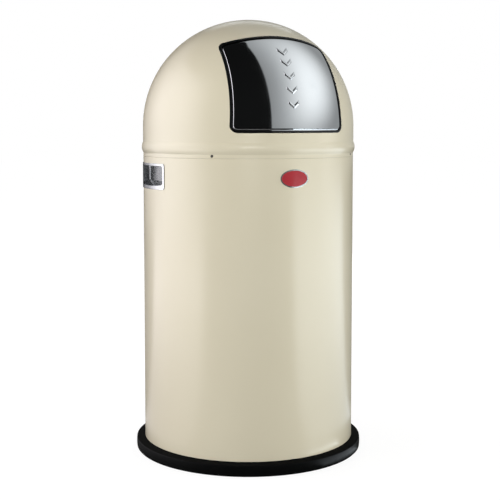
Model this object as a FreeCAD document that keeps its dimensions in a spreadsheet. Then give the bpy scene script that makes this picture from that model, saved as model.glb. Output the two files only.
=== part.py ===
import FreeCAD, Part
import math
import os

import Sketcher
from FreeCAD import Placement, Rotation, Vector

# A round push-flap bin, in millimetres. +Z is up, the front faces -Y and the
# origin is the middle of the footprint on the floor.

SIZES = {
    # sheet and fits that several pieces share
    "sheet": 1.0,
    "fit_gap": 0.05,
    "weld_gap": 0.15,
    "running_gap": 0.06,
    "overrun": 6.0,
    # base ring
    "ring_overhang": 15.0,
    "ring_crown": 0.6,
    "ring_height": 21.0,
    "ring_shoulder_drop": 2.6,
    "ring_foot_bevel": 1.4,
    "ring_ledge_width": 6.8,
    "ring_lip_height": 11.0,
    "ring_seat": 5.0,
    "ring_gap": 0.15,
    "ring_edge_round": 1.6,
    # body shell and floor
    "body_radius": 185.0,
    "body_height": 517.5,
    "hem_depth": 8.0,
    "hem_round": 0.8,
    "floor_height": 14.0,
    "floor_bend": 3.0,
    "floor_step_depth": 3.0,
    "floor_rim_width": 57.0,
    "floor_step_run": 8.0,
    # side grips
    "grip_drop": 10.5,
    "grip_length": 109.0,
    "grip_width": 44.0,
    "grip_corner": 5.0,
    "grip_frame": 1.2,
    "grip_frame_round": 0.6,
    "grip_border": 3.6,
    "grip_depth": 18.5,
    "grip_wall": 1.0,
    "grip_draft": 1.0,
    "grip_slope": 9.0,
    "grip_mouth_corner": 4.0,
    "grip_floor_round": 2.5,
    "grip_tab_length": 16.0,
    "grip_tab_reach": 2.5,
    "grip_tab_gap": 0.4,
    "grip_cut_gap": 0.5,
    # front badge
    "badge_drop": 32.5,
    "badge_length": 50.0,
    "badge_width": 30.0,
    "badge_thickness": 1.5,
    "badge_rim": 2.0,
    "badge_recess": 0.5,
    # dome hood
    "hood_step": 0.5,
    "joint_gap": 0.2,
    "skirt_height": 6.1,
    "band_height": 26.7,
    "bead_span": 19.0,
    "bead_rise": 2.6,
    "bead_round": 2.0,
    # opening in the hood and its trim
    "opening_drop": 10.8,
    "opening_crown_height": 35.4,
    "opening_bottom_half": 102.6,
    "opening_top_half": 95.6,
    "opening_top_arc": 297.0,
    "opening_bottom_corner": 12.0,
    "opening_top_corner": 14.0,
    "trim_width": 3.6,
    "trim_grip": 2.4,
    "trim_lip": 0.9,
    "trim_back": 0.5,
    "trim_round": 0.7,
    # collar and its rivets
    "collar_depth": 10.0,
    "collar_play": 0.4,
    "collar_rise": 0.2,
    "collar_joggle": 0.9,
    "collar_land": 8.0,
    "rivet_lift": 3.7,
    "rivet_turn_angle": 47.5,
    "rivet_head_radius": 2.3,
    "rivet_head_height": 1.1,
    "rivet_shank_radius": 1.5,
    "rivet_tail_radius": 2.1,
    "rivet_tail_height": 0.9,
    # push flap
    "flap_gap": 0.3,
    "flap_sheet": 1.0,
    "flap_overlap": 2.4,
    "field_gap": 1.3,
    "field_rise": 2.0,
    "field_round": 1.2,
    "flap_travel_angle": 60.0,
    # flap hinge
    "hinge_inset": 22.5,
    "hinge_lean_angle": 26.0,
    "rod_radius": 3.0,
    "rod_end": 66.0,
    "retainer_radius": 5.5,
    "retainer_length": 4.0,
    "retainer_cap": 1.2,
    "bracket_place": 58.6,
    "bracket_sheet": 2.0,
    "bracket_hub_radius": 7.0,
    "bracket_top_half": 12.0,
    "bracket_foot": 15.0,
    "arm_place": 55.6,
    "arm_sheet": 2.0,
    "arm_hub_radius": 8.0,
    "arm_boss": 4.0,
    "arm_reach_share": 0.4313,
    "arm_high_drop_share": 0.1617,
    "arm_low_drop_share": 0.3235,
    "arm_foot": 13.0,
    "heel_radius": 3.5,
    "heel_gap": 0.6,
    # flap springs
    "spring_wire_radius": 0.8,
    "spring_coil_radius": 5.0,
    "spring_pitch": 2.6,
    "spring_start": 29.0,
    "spring_gap": 0.3,
    "spring_hood_angle": 40.0,
    "spring_flap_angle": 200.0,
    # inner liner
    "liner_drop": 57.5,
    "liner_clearance": 35.0,
    "liner_taper": 9.0,
    "liner_sheet": 0.9,
    "liner_band": 48.0,
    "liner_floor_rise": 7.0,
    "liner_seat_gap": 0.2,
    "liner_rim_height": 5.2,
    "liner_rim_radius": 2.7,
    "liner_rib_gap": 11.0,
    "liner_rib_span": 12.0,
    "liner_rib_rise": 2.0,
    # bail ears, bail and its grip
    "ear_drop": 20.0,
    "ear_sheet": 1.4,
    "ear_raise": 1.6,
    "ear_half_width": 21.0,
    "ear_half_height": 9.0,
    "ear_bridge_half": 8.0,
    "ear_rivet_place": 14.5,
    "ear_rivet_head_radius": 3.0,
    "ear_rivet_head_height": 1.4,
    "ear_rivet_tail_height": 0.8,
    "bail_wire_radius": 2.5,
    "bail_side_gap": 7.0,
    "bail_back_gap": 11.0,
    "bail_hook_gap": 0.4,
    "bail_hook_bend": 3.6,
    "bail_straight_half": 36.0,
    "bail_fold_angle": 12.0,
    "bail_grip_radius": 6.0,
    "bail_grip_length": 68.0,
    "bail_grip_round": 2.0,
}
SPRING_TURNS = 5
RIVET_COUNT = 4

doc = FreeCAD.newDocument("push_flap_bin")
sheet = doc.addObject("Spreadsheet::Sheet", "Sizes")
for row, (alias, number) in enumerate(SIZES.items(), start=1):
    sheet.set(f"A{row}", alias)
    sheet.set(f"B{row}", str(number))
    sheet.setAlias(f"B{row}", alias)
doc.recompute()


class Size(float):
    """A number that carries the spreadsheet formula it comes from."""

    def __new__(cls, number, formula):
        size = super().__new__(cls, number)
        size.formula = formula
        return size

    def __add__(self, other):
        return Size(float(self) + float(other), f"({self.formula} + {formula_of(other)})")

    def __radd__(self, other):
        return Size(float(other) + float(self), f"({formula_of(other)} + {self.formula})")

    def __sub__(self, other):
        return Size(float(self) - float(other), f"({self.formula} - {formula_of(other)})")

    def __rsub__(self, other):
        return Size(float(other) - float(self), f"({formula_of(other)} - {self.formula})")

    def __mul__(self, other):
        return Size(float(self) * float(other), f"({self.formula} * {formula_of(other)})")

    __rmul__ = __mul__

    def __truediv__(self, other):
        return Size(float(self) / float(other), f"({self.formula} / {formula_of(other)})")

    def __neg__(self):
        return Size(-float(self), f"(-1 * {self.formula})")


def formula_of(value):
    return value.formula if isinstance(value, Size) else repr(float(value))


def root(size):
    return Size(math.sqrt(size), f"sqrt({size.formula})")


def cosine(angle):
    return Size(math.cos(math.radians(angle)), f"cos({formula_of(angle)})")


def sine(angle):
    return Size(math.sin(math.radians(angle)), f"sin({formula_of(angle)})")


class Sizes:
    """Every cell of the sheet, by its alias."""


for alias in SIZES:
    setattr(Sizes, alias, Size(float(sheet.get(alias)), f"Sizes.{alias}"))
s = Sizes
nodes = []


# Helpers that bind features to the sheet


def bind(feature, **properties):
    """Set number properties and tie each to its formula."""
    for name, size in properties.items():
        setattr(feature, name, float(size))
        if isinstance(size, Size):
            feature.setExpression(name, size.formula)
    return feature


def place(feature, x=0.0, y=0.0, z=0.0, rotation=None):
    """Put a feature at a place whose coordinates follow the sheet."""
    feature.Placement = Placement(Vector(float(x), float(y), float(z)), rotation or Rotation())
    for axis, size in (("x", x), ("y", y), ("z", z)):
        if isinstance(size, Size):
            feature.setExpression(f"Placement.Base.{axis}", size.formula)
    return feature


def finished(label, feature):
    """Name a finished piece, which is then written to its own file."""
    feature.Label = label
    nodes.append(feature)
    return feature


def new_body(name):
    return doc.addObject("PartDesign::Body", name)


def new_sketch(body, name, role, lift=None):
    sketch = body.newObject("Sketcher::SketchObject", name)
    plane = next(item for item in body.Origin.OriginFeatures if item.Role == role)
    sketch.AttachmentSupport = [(plane, "")]
    sketch.MapMode = "FlatFace"
    if lift is not None:
        sketch.AttachmentOffset = Placement(Vector(0, 0, float(lift)), Rotation())
        sketch.setExpression("AttachmentOffset.Base.z", lift.formula)
    return sketch


def constrain(sketch, formula, *parts):
    index = sketch.addConstraint(Sketcher.Constraint(*parts))
    if formula is not None:
        name = f"size_{index}"
        sketch.renameConstraint(index, name)
        sketch.setExpression(f"Constraints.{name}", formula)


def pin_point(sketch, geometry, end, x, y):
    """Hold a sketch point at two formulas, or on an axis where one is zero."""
    if isinstance(x, Size):
        constrain(sketch, x.formula, "DistanceX", -1, 1, geometry, end, float(x))
    else:
        constrain(sketch, None, "PointOnObject", geometry, end, -2)
    if isinstance(y, Size):
        constrain(sketch, y.formula, "DistanceY", -1, 1, geometry, end, float(y))
    else:
        constrain(sketch, None, "PointOnObject", geometry, end, -1)


def arc_between(start, end, radius, turn):
    """The shorter arc from start to end; turn is 1 for counterclockwise and -1 for clockwise."""
    chord = end - start
    rise = math.sqrt(max(radius * radius - chord.Length * chord.Length / 4, 0))
    side = Vector(-chord.y, chord.x, 0).normalize() * turn
    centre = (start + end) / 2 + side * rise
    first, last = (start, end) if turn > 0 else (end, start)
    angles = [math.atan2(point.y - centre.y, point.x - centre.x) for point in (first, last)]
    return Part.ArcOfCircle(Part.Circle(centre, Vector(0, 0, 1), radius), *angles)


def draw(sketch, corners, arcs=None, closed=True):
    """Draw an outline through corners; arcs gives (radius, turn) for a span by its number."""
    arcs = arcs or {}
    points = [Vector(float(x), float(y), 0) for x, y in corners]
    spans = len(points) if closed else len(points) - 1
    ends = []
    for span in range(spans):
        start = points[span]
        end = points[(span + 1) % len(points)]
        if span in arcs:
            radius, turn = arcs[span]
            geometry = sketch.addGeometry(arc_between(start, end, float(radius), turn), False)
            ends.append((geometry, 1, 2) if turn > 0 else (geometry, 2, 1))
        else:
            geometry = sketch.addGeometry(Part.LineSegment(start, end), False)
            ends.append((geometry, 1, 2))
    for span in range(spans if closed else spans - 1):
        geometry, _, last = ends[span]
        following, first, _ = ends[(span + 1) % spans]
        constrain(sketch, None, "Coincident", geometry, last, following, first)
    for span, (geometry, first, _) in enumerate(ends):
        pin_point(sketch, geometry, first, *corners[span])
    if not closed:
        pin_point(sketch, ends[-1][0], ends[-1][2], *corners[-1])
    for span, (radius, _) in arcs.items():
        constrain(sketch, radius.formula, "Radius", ends[span][0], float(radius))
    return sketch


def rounded_box(left, right, low, high, corner):
    """Corners and arcs of a rectangle with round corners."""
    corners = [
        (left + corner, low), (right - corner, low), (right, low + corner), (right, high - corner),
        (right - corner, high), (left + corner, high), (left, high - corner), (left, low + corner),
    ]
    return corners, {span: (corner, 1) for span in (1, 3, 5, 7)}


def revolve(name, corners, arcs=None):
    """A body turned about Z from a profile of (radius, height) corners."""
    body = new_body(name)
    sketch = draw(new_sketch(body, f"{name}_profile", "XZ_Plane"), corners, arcs)
    turned = body.newObject("PartDesign::Revolution", f"{name}_turned")
    turned.Profile = sketch
    turned.ReferenceAxis = (sketch, ["V_Axis"])
    turned.Angle = 360
    doc.recompute()
    return body


def pad(name, role, length, corners, arcs=None, lift=None):
    """A body padded from an outline on one of its origin planes."""
    body = new_body(name)
    sketch = draw(new_sketch(body, f"{name}_outline", role, lift), corners, arcs)
    padded = body.newObject("PartDesign::Pad", f"{name}_pad")
    padded.Profile = sketch
    bind(padded, Length=length)
    doc.recompute()
    return body


def round_edges(body, radius, wanted):
    """Fillet the edges of a body's tip that the test picks out."""
    base = body.Tip
    names = [f"Edge{number}" for number, edge in enumerate(base.Shape.Edges, start=1) if wanted(edge)]
    fillet = body.newObject("PartDesign::Fillet", f"{body.Name}_round")
    fillet.Base = (base, names)
    bind(fillet, Radius=radius)
    doc.recompute()
    return body


def on_circle(radius, height):
    """A test for the circular edge of a turned body at a radius and a height."""
    def wanted(edge):
        middle = edge.valueAt((edge.FirstParameter + edge.LastParameter) / 2)
        near = abs(math.hypot(middle.x, middle.y) - radius) < s.fit_gap
        return near and abs(middle.z - height) < s.fit_gap
    return wanted


def combine(kind, name, first, second):
    """A Part::Cut or Part::Common of two features."""
    feature = doc.addObject(kind, name)
    feature.Base = first
    feature.Tool = second
    doc.recompute()
    return feature


def cut(name, base, tool):
    return combine("Part::Cut", name, base, tool)


def common(name, first, second):
    return combine("Part::Common", name, first, second)


def fuse(name, features):
    feature = doc.addObject("Part::MultiFuse", name)
    feature.Shapes = features
    doc.recompute()
    return feature


def group(name, features):
    feature = doc.addObject("Part::Compound", name)
    feature.Links = features
    doc.recompute()
    return feature


def mirrored(name, source):
    feature = doc.addObject("Part::Mirroring", name)
    feature.Source = source
    feature.Normal = Vector(1, 0, 0)
    doc.recompute()
    return feature


def box(name, x_low, x_high, y_low, y_high, z_low, z_high):
    feature = doc.addObject("Part::Box", name)
    bind(feature, Length=x_high - x_low, Width=y_high - y_low, Height=z_high - z_low)
    return place(feature, x_low, y_low, z_low)


def cylinder(name, radius, length, x=0.0, y=0.0, z=0.0, rotation=None):
    feature = doc.addObject("Part::Cylinder", name)
    bind(feature, Radius=radius, Height=length)
    return place(feature, x, y, z, rotation)


def tube(name, outer, inner, low, high):
    """An upright tube between two heights."""
    solid = cylinder(f"{name}_outer", outer, high - low, z=low)
    bore = cylinder(f"{name}_inner", inner, high - low, z=low)
    return cut(name, solid, bore)


def fillet_feature(name, base, radius, wanted):
    """Fillet the edges of a boolean result that the test picks out."""
    feature = doc.addObject("Part::Fillet", name)
    feature.Base = base
    feature.Edges = [
        (number, float(radius), float(radius))
        for number, edge in enumerate(base.Shape.Edges, start=1) if wanted(edge)
    ]
    doc.recompute()
    return feature


ALONG_X = Rotation(Vector(0, 1, 0), 90)
nothing = s.sheet - s.sheet


def facing(turn_degrees):
    """Turns a piece made along Z to point out from the bin's axis, from the front round to +X."""
    return Rotation(Vector(0, 0, 1), turn_degrees).multiply(Rotation(Vector(1, 0, 0), 90))


# Base ring
# A moulded ring with a slightly crowned outer face. The wall of the body and the
# flange of the floor stand in a groove in its top.

wall_inner = s.body_radius - s.sheet
flange_outer = wall_inner - s.fit_gap
flange_inner = flange_outer - s.sheet
ring_radius = s.body_radius + s.ring_overhang
ring_face = ring_radius - s.ring_crown
ring_shoulder = s.ring_height - s.ring_shoulder_drop
ring_face_height = ring_shoulder - s.ring_foot_bevel
crown_radius = (ring_face_height * ring_face_height / 4 + s.ring_crown * s.ring_crown) / (2 * s.ring_crown)
groove_outer = s.body_radius + s.ring_gap
groove_inner = flange_inner - s.ring_gap
ring_inner = groove_inner - s.ring_ledge_width
base_ring = revolve("ring", [
    (ring_inner, 0),
    (ring_face - s.ring_foot_bevel, 0),
    (ring_face, s.ring_foot_bevel),
    (ring_face, ring_shoulder),
    (groove_outer, s.ring_height),
    (groove_outer, s.ring_seat),
    (groove_inner, s.ring_seat),
    (groove_inner, s.ring_lip_height),
    (ring_inner, s.ring_lip_height),
], {2: (crown_radius, 1)})
round_edges(base_ring, s.ring_edge_round, on_circle(ring_face, ring_shoulder))
finished("base_ring", base_ring)


# Floor pan
# A pressed disc with a dished middle and a turned-down flange, welded into the
# foot of the body.

floor_top = s.floor_height + s.sheet
step_outer = flange_inner - s.floor_rim_width
step_inner = step_outer - s.floor_step_run
floor_pan = revolve("floor", [
    (0, s.floor_height - s.floor_step_depth),
    (step_inner, s.floor_height - s.floor_step_depth),
    (step_outer, s.floor_height),
    (flange_inner, s.floor_height),
    (flange_inner, s.ring_seat),
    (flange_outer, s.ring_seat),
    (flange_outer, floor_top),
    (step_outer, floor_top),
    (step_inner, floor_top - s.floor_step_depth),
    (0, floor_top - s.floor_step_depth),
])
round_edges(floor_pan, s.floor_bend, on_circle(flange_outer, floor_top))
round_edges(floor_pan, s.floor_bend - s.sheet, on_circle(flange_inner, s.floor_height))
finished("floor_pan", floor_pan)


# Body shell
# A rolled cylinder with its top edge folded in, and a cut-out on each side for a grip.

hem_inner = s.body_radius - 2 * s.sheet
body_shell = revolve("body", [
    (s.body_radius, s.ring_seat),
    (s.body_radius, s.body_height),
    (hem_inner, s.body_height),
    (hem_inner, s.body_height - s.hem_depth),
    (wall_inner, s.body_height - s.hem_depth),
    (wall_inner, s.ring_seat),
])
round_edges(body_shell, s.hem_round, on_circle(s.body_radius, s.body_height))
round_edges(body_shell, s.hem_round, on_circle(hem_inner, s.body_height))

grip_high = s.body_height - s.grip_drop
grip_low = grip_high - s.grip_width
mouth_half = s.grip_length / 2 - s.grip_border
mouth_low = grip_low + s.grip_border
mouth_high = grip_high - s.grip_border
cut_margin = s.grip_wall + s.grip_cut_gap
cut_outline = new_sketch(body_shell, "grip_cut_outline", "YZ_Plane")
draw(cut_outline, *rounded_box(
    -(mouth_half + cut_margin), mouth_half + cut_margin,
    mouth_low - cut_margin, mouth_high + cut_margin,
    s.grip_mouth_corner + cut_margin,
))
grip_cut = body_shell.newObject("PartDesign::Pocket", "grip_cut")
grip_cut.Profile = cut_outline
grip_cut.SideType = "Symmetric"
bind(grip_cut, Length=2 * s.body_radius + s.overrun)
uncut_volume = body_shell.Shape.Volume
doc.recompute()
if body_shell.Shape.Volume >= uncut_volume:
    raise RuntimeError("the grip cut-outs removed nothing from the body")
finished("body_shell", body_shell)


# Side grips
# A pressed tray with a frame that follows the curve of the body. The upper wall is
# square to be lifted by, the lower wall slopes, and tabs behind the sheet hold it.


def grip_loft(name, margin, outer_x, floor_x, floor_round):
    """The inside of a tray, or with a margin its outside."""
    body = new_body(name)
    mouth = new_sketch(body, f"{name}_mouth", "YZ_Plane", outer_x)
    draw(mouth, *rounded_box(
        -(mouth_half + margin), mouth_half + margin,
        mouth_low - margin, mouth_high + margin, s.grip_mouth_corner + margin,
    ))
    floor_half = mouth_half - s.grip_draft + margin
    floor = new_sketch(body, f"{name}_floor", "YZ_Plane", floor_x)
    draw(floor, *rounded_box(
        -floor_half, floor_half,
        mouth_low + s.grip_slope - margin, mouth_high - s.grip_wall + margin,
        s.grip_mouth_corner + margin,
    ))
    loft = body.newObject("PartDesign::AdditiveLoft", f"{name}_loft")
    loft.Profile = mouth
    loft.Sections = [floor]
    loft.Ruled = True
    doc.recompute()
    round_edges(body, floor_round, lambda edge: abs(edge.BoundBox.XMax - floor_x) < s.fit_gap)
    return body


frame_outer = s.body_radius + s.grip_frame
grip_outer_x = frame_outer + s.overrun
grip_floor_x = s.body_radius - s.grip_depth
grip_inside = grip_loft("grip_inside", nothing, grip_outer_x, grip_floor_x, s.grip_floor_round)
grip_outside = grip_loft(
    "grip_outside", s.grip_wall, grip_outer_x, grip_floor_x - s.grip_wall, s.grip_floor_round + s.grip_wall,
)
frame_plate = pad(
    "grip_frame_plate", "YZ_Plane", grip_outer_x,
    *rounded_box(-(s.grip_length / 2), s.grip_length / 2, grip_low, grip_high, s.grip_corner),
)
frame_band = tube("grip_frame_band", frame_outer, s.body_radius, grip_low - s.overrun, grip_high + s.overrun)
grip_frame = common("grip_frame", frame_band, frame_plate)
grip_frame = fillet_feature(
    "grip_frame_soft", grip_frame, s.grip_frame_round,
    lambda edge: all(
        math.hypot(vertex.X, vertex.Y) > frame_outer - s.fit_gap for vertex in edge.Vertexes
    ),
)
tray_limit = cylinder(
    "grip_tray_limit", s.body_radius + s.grip_frame / 2,
    s.grip_width + 2 * s.overrun, z=grip_low - s.overrun,
)
grip_tray = common("grip_tray", grip_outside, tray_limit)
tab_face = wall_inner - s.grip_tab_gap
grip_tabs = [
    box(
        f"grip_tab_{name}", tab_face - s.grip_wall, tab_face,
        -(s.grip_tab_length / 2), s.grip_tab_length / 2, low, high,
    )
    for name, low, high in (
        ("top", mouth_high - s.grip_wall, mouth_high + cut_margin + s.grip_tab_reach),
        ("bottom", mouth_low - cut_margin - s.grip_tab_reach, mouth_low + s.grip_slope),
    )
]
grip_block = fuse("grip_block", [grip_frame, grip_tray] + grip_tabs)
right_grip = finished("right_grip", cut("grip_right", grip_block, grip_inside))
finished("left_grip", mirrored("grip_left", right_grip))


# Front badge
# A small oval plate with a raised rim, curved to lie on the body.

badge_outer = s.body_radius + s.badge_thickness
badge_middle = s.body_height - s.badge_drop
badge_band = tube(
    "badge_band", badge_outer, s.body_radius,
    badge_middle - s.badge_width, badge_middle + s.badge_width,
)
badge_field_band = tube(
    "badge_field_band", badge_outer, badge_outer - s.badge_recess,
    badge_middle - s.badge_width, badge_middle + s.badge_width,
)


def oval_pad(name, half_length, half_width):
    """An oval bar that runs forward from the axis at the height of the badge."""
    body = new_body(name)
    sketch = new_sketch(body, f"{name}_outline", "XZ_Plane")
    centre = Vector(0, float(badge_middle), 0)
    oval = sketch.addGeometry(Part.Ellipse(
        centre + Vector(float(half_length), 0, 0), centre + Vector(0, float(half_width), 0), centre,
    ), False)
    sketch.exposeInternalGeometry(oval)
    major, minor = oval + 1, oval + 2
    constrain(sketch, None, "PointOnObject", oval, 3, -2)
    constrain(sketch, badge_middle.formula, "DistanceY", -1, 1, oval, 3, float(badge_middle))
    constrain(sketch, None, "Horizontal", major)
    constrain(sketch, (2 * half_length).formula, "Distance", major, float(2 * half_length))
    constrain(sketch, (2 * half_width).formula, "Distance", minor, float(2 * half_width))
    bar = body.newObject("PartDesign::Pad", f"{name}_pad")
    bar.Profile = sketch
    bind(bar, Length=badge_outer + s.overrun)
    doc.recompute()
    return body


badge_bar = oval_pad("badge_bar", s.badge_length / 2, s.badge_width / 2)
badge_field_bar = oval_pad(
    "badge_field_bar", s.badge_length / 2 - s.badge_rim, s.badge_width / 2 - s.badge_rim,
)
badge_plate = common("badge_plate", badge_band, badge_bar)
badge_field = common("badge_field", badge_field_band, badge_field_bar)
finished("front_badge", cut("badge", badge_plate, badge_field))


# Dome hood
# One deep-drawn shell: a short skirt, a shallow swaged bead, a straight band and a
# half sphere, with the flap's opening cut through its front.

hood_radius = s.body_radius + s.hood_step
hood_inner = hood_radius - s.sheet
skirt_low = s.body_height + s.joint_gap
bead_low = skirt_low + s.skirt_height
bead_high = bead_low + s.bead_span
hood_centre = bead_high + s.band_height
bead_radius = (s.bead_span * s.bead_span / 4 + s.bead_rise * s.bead_rise) / (2 * s.bead_rise)
hood = revolve("hood", [
    (s.body_radius, skirt_low),
    (s.body_radius, bead_low),
    (hood_radius, bead_high),
    (hood_radius, hood_centre),
    (0, hood_centre + hood_radius),
    (0, hood_centre + hood_inner),
    (hood_inner, hood_centre),
    (hood_inner, bead_high),
    (wall_inner, bead_low),
    (wall_inner, skirt_low),
], {1: (bead_radius, 1), 3: (hood_radius, 1), 5: (hood_inner, -1), 7: (bead_radius, -1)})
for radius, height in ((s.body_radius, bead_low), (hood_radius, bead_high)):
    round_edges(hood, s.bead_round, on_circle(radius, height))


opening_bottom = hood_centre - s.opening_drop
opening_top = hood_centre + hood_radius - s.opening_crown_height


def opening_bar(name, inset):
    """A bar that runs forward with the outline of the opening, drawn in by an inset."""
    bottom_half = s.opening_bottom_half - inset
    top_half = s.opening_top_half - inset
    arch = s.opening_top_arc - inset
    low = opening_bottom + inset
    shoulder = opening_top - inset - arch + root(arch * arch - top_half * top_half)
    bar = pad(name, "XZ_Plane", hood_radius + s.trim_lip + s.overrun, [
        (-bottom_half, low), (bottom_half, low), (top_half, shoulder), (-top_half, shoulder),
    ], {2: (arch, 1)})
    corners = ((s.opening_bottom_corner, bottom_half, low), (s.opening_top_corner, top_half, shoulder))
    for corner, half, height in corners:
        def along_the_bar(edge, half=half, height=height):
            box_of = edge.BoundBox
            across = abs(abs(box_of.Center.x) - half) < s.fit_gap
            return across and abs(box_of.Center.z - height) < s.fit_gap and box_of.YLength > hood_radius
        round_edges(bar, corner - inset, along_the_bar)
    return bar


def dome_skin(name, outer, thickness):
    """A skin that follows the band and the dome of the hood."""
    inner = outer - thickness
    low = opening_bottom - s.overrun
    return revolve(name, [
        (outer, low), (outer, hood_centre), (0, hood_centre + outer),
        (0, hood_centre + inner), (inner, hood_centre), (inner, low),
    ], {1: (outer, 1), 3: (inner, -1)})


opened_hood = cut("hood_opened", hood, opening_bar("opening_edge", s.trim_grip))


# Collar and its rivets
# A joggled ring inside the skirt. Its lower half plugs into the mouth of the body,
# and four rivets hold it to the skirt.

plug_outer = hem_inner - s.collar_play
land_outer = wall_inner - s.fit_gap
plug_high = skirt_low + s.collar_rise
land_low = plug_high + s.collar_joggle
land_high = land_low + s.collar_land
plug_low = s.body_height - s.collar_depth
collar = revolve("collar", [
    (plug_outer, plug_low), (plug_outer, plug_high), (land_outer, land_low), (land_outer, land_high),
    (land_outer - s.sheet, land_high), (land_outer - s.sheet, land_low),
    (plug_outer - s.sheet, plug_high), (plug_outer - s.sheet, plug_low),
])
land_inner = land_outer - s.sheet


def rivet(name, head_radius, head_height, shank_radius, tail_radius, tail_height, grip):
    """A rivet along Z with its head's seat at the origin and its tail below."""
    dome = (head_radius * head_radius + head_height * head_height) / (2 * head_height)
    return revolve(name, [
        (0, -(grip + tail_height)),
        (tail_radius, -(grip + tail_height)),
        (tail_radius, -grip),
        (shank_radius, -grip),
        (shank_radius, 0),
        (head_radius, 0),
        (0, head_height),
    ], {5: (dome, 1)})


collar_rivets = []
rivet_holes = []
rivet_height = skirt_low + s.rivet_lift
for number in range(RIVET_COUNT):
    turn = s.rivet_turn_angle + number * 360 / RIVET_COUNT
    spot = (s.body_radius * sine(turn), -(s.body_radius * cosine(turn)), rivet_height)
    pin = rivet(
        f"collar_rivet_{number + 1}", s.rivet_head_radius, s.rivet_head_height, s.rivet_shank_radius,
        s.rivet_tail_radius, s.rivet_tail_height, s.body_radius - land_inner,
    )
    collar_rivets.append(place(pin, *spot, facing(float(turn))))
    start = land_inner - s.overrun
    hole = cylinder(
        f"collar_rivet_hole_{number + 1}", s.rivet_shank_radius, 2 * s.overrun,
        start * sine(turn), -(start * cosine(turn)), rivet_height, facing(float(turn)),
    )
    rivet_holes.append(hole)
rivet_holes = group("collar_rivet_holes", rivet_holes)
dome_hood = finished("dome_hood", cut("hood_drilled", opened_hood, rivet_holes))
finished("hood_collar", cut("collar_drilled", collar, rivet_holes))
finished("collar_rivets", group("collar_rivet_set", collar_rivets))


# Opening trim
# U-section edging pushed over the cut edge of the hood all the way round.

trim_skin = dome_skin(
    "trim_skin", hood_radius + s.trim_lip, s.trim_lip + s.sheet + s.trim_back,
)
trim_ring = cut(
    "trim_outline", opening_bar("trim_outer", nothing), opening_bar("trim_inner", s.trim_width),
)
trim_solid = cut("trim_solid", common("trim_blank", trim_skin, trim_ring), opened_hood)


def on_skin(edge, radius):
    """Whether an edge lies on a skin of the band and the dome all along."""
    for share in (0, 0.5, 1):
        point = edge.valueAt(edge.FirstParameter + share * (edge.LastParameter - edge.FirstParameter))
        height = max(point.z - hood_centre, 0)
        if abs(Vector(point.x, point.y, height).Length - radius) > s.fit_gap:
            return False
    return True


def runs_along(edge):
    """Edges on the crest of the trim, without the short ones that cross it from side to side."""
    crossing = abs(edge.Length - s.trim_width) < s.trim_width / 4
    return on_skin(edge, hood_radius + s.trim_lip) and not crossing


finished("opening_trim", fillet_feature("trim", trim_solid, s.trim_round, runs_along))


# Push flap
# A polished sheet on the same curve as the dome. Its border closes against the trim from
# inside, and its field is pressed out so that it stands almost flush in the opening.

flap_outer = hood_inner - s.trim_back - s.flap_gap
field_outer = flap_outer + s.field_rise
field_inner = field_outer - s.flap_sheet
field_inset = s.trim_width + s.field_gap
flap_border = common(
    "flap_border", dome_skin("flap_border_skin", flap_outer, s.flap_sheet),
    opening_bar("flap_outline", s.trim_width - s.flap_overlap),
)
flap_field = common(
    "flap_field", dome_skin("flap_field_skin", field_outer, s.field_rise + s.flap_sheet),
    opening_bar("flap_field_outline", field_inset),
)
flap_hollow = common(
    "flap_hollow", dome_skin("flap_hollow_skin", field_inner, s.field_rise + s.overrun),
    opening_bar("flap_hollow_outline", field_inset + s.flap_sheet),
)
flap_sheet = cut("flap_sheet", fuse("flap_blank", [flap_border, flap_field]), flap_hollow)


def on_field_rim(edge):
    """Edges on the outer face of the flap's field, which run round its shoulder."""
    return on_skin(edge, field_outer)


finished("push_flap", fillet_feature("flap", flap_sheet, s.field_round, on_field_rim))


# Hinge rod and its retainers
# A plain steel rod across the top of the dome, with a push-on cap on each end.

hinge_distance = hood_inner - s.hinge_inset
out_y = -sine(s.hinge_lean_angle)
out_z = cosine(s.hinge_lean_angle)
hinge_y = hinge_distance * out_y
hinge_z = hood_centre + hinge_distance * out_z
rod = cylinder("rod", s.rod_radius, 2 * s.rod_end, -s.rod_end, hinge_y, hinge_z, ALONG_X)
finished("hinge_rod", rod)
retainer_skirt = s.retainer_length - s.retainer_cap
retainer_dome = (
    s.retainer_radius * s.retainer_radius + s.retainer_cap * s.retainer_cap
) / (2 * s.retainer_cap)
right_retainer = revolve("retainer", [
    (0, 0),
    (s.rod_radius, 0),
    (s.rod_radius, -retainer_skirt),
    (s.retainer_radius, -retainer_skirt),
    (s.retainer_radius, 0),
    (0, s.retainer_cap),
], {4: (retainer_dome, 1)})
place(right_retainer, s.rod_end, hinge_y, hinge_z, ALONG_X)
left_retainer = mirrored("retainer_left", right_retainer)
finished("rod_retainers", group("retainer_pair", [right_retainer, left_retainer]))


# Hinge brackets
# A pressed ear on each side with a foot spot-welded to the inside of the dome.

rod_length = 2 * s.rod_end
dome_inside = doc.addObject("Part::Sphere", "dome_inside")
bind(dome_inside, Radius=hood_inner - s.weld_gap)
place(dome_inside, z=hood_centre)
bracket_web = pad("bracket_web", "YZ_Plane", s.bracket_sheet, [
    (hinge_y - s.bracket_hub_radius, hinge_z),
    (hinge_y + s.bracket_hub_radius, hinge_z),
    (hinge_y + s.bracket_top_half, hood_centre + hood_inner),
    (hinge_y - s.bracket_top_half, hood_centre + hood_inner),
], lift=s.bracket_place)
bracket_hub = cylinder(
    "bracket_hub", s.bracket_hub_radius, s.bracket_sheet, s.bracket_place, hinge_y, hinge_z, ALONG_X,
)
bracket_foot_box = box(
    "bracket_foot_box", s.bracket_place, s.bracket_place + s.bracket_foot,
    hinge_y - s.bracket_top_half, hinge_y + s.bracket_top_half, hinge_z, hood_centre + hood_inner,
)
bracket_foot_skin = dome_skin("bracket_foot_skin", hood_inner - s.weld_gap, s.bracket_sheet)
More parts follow.
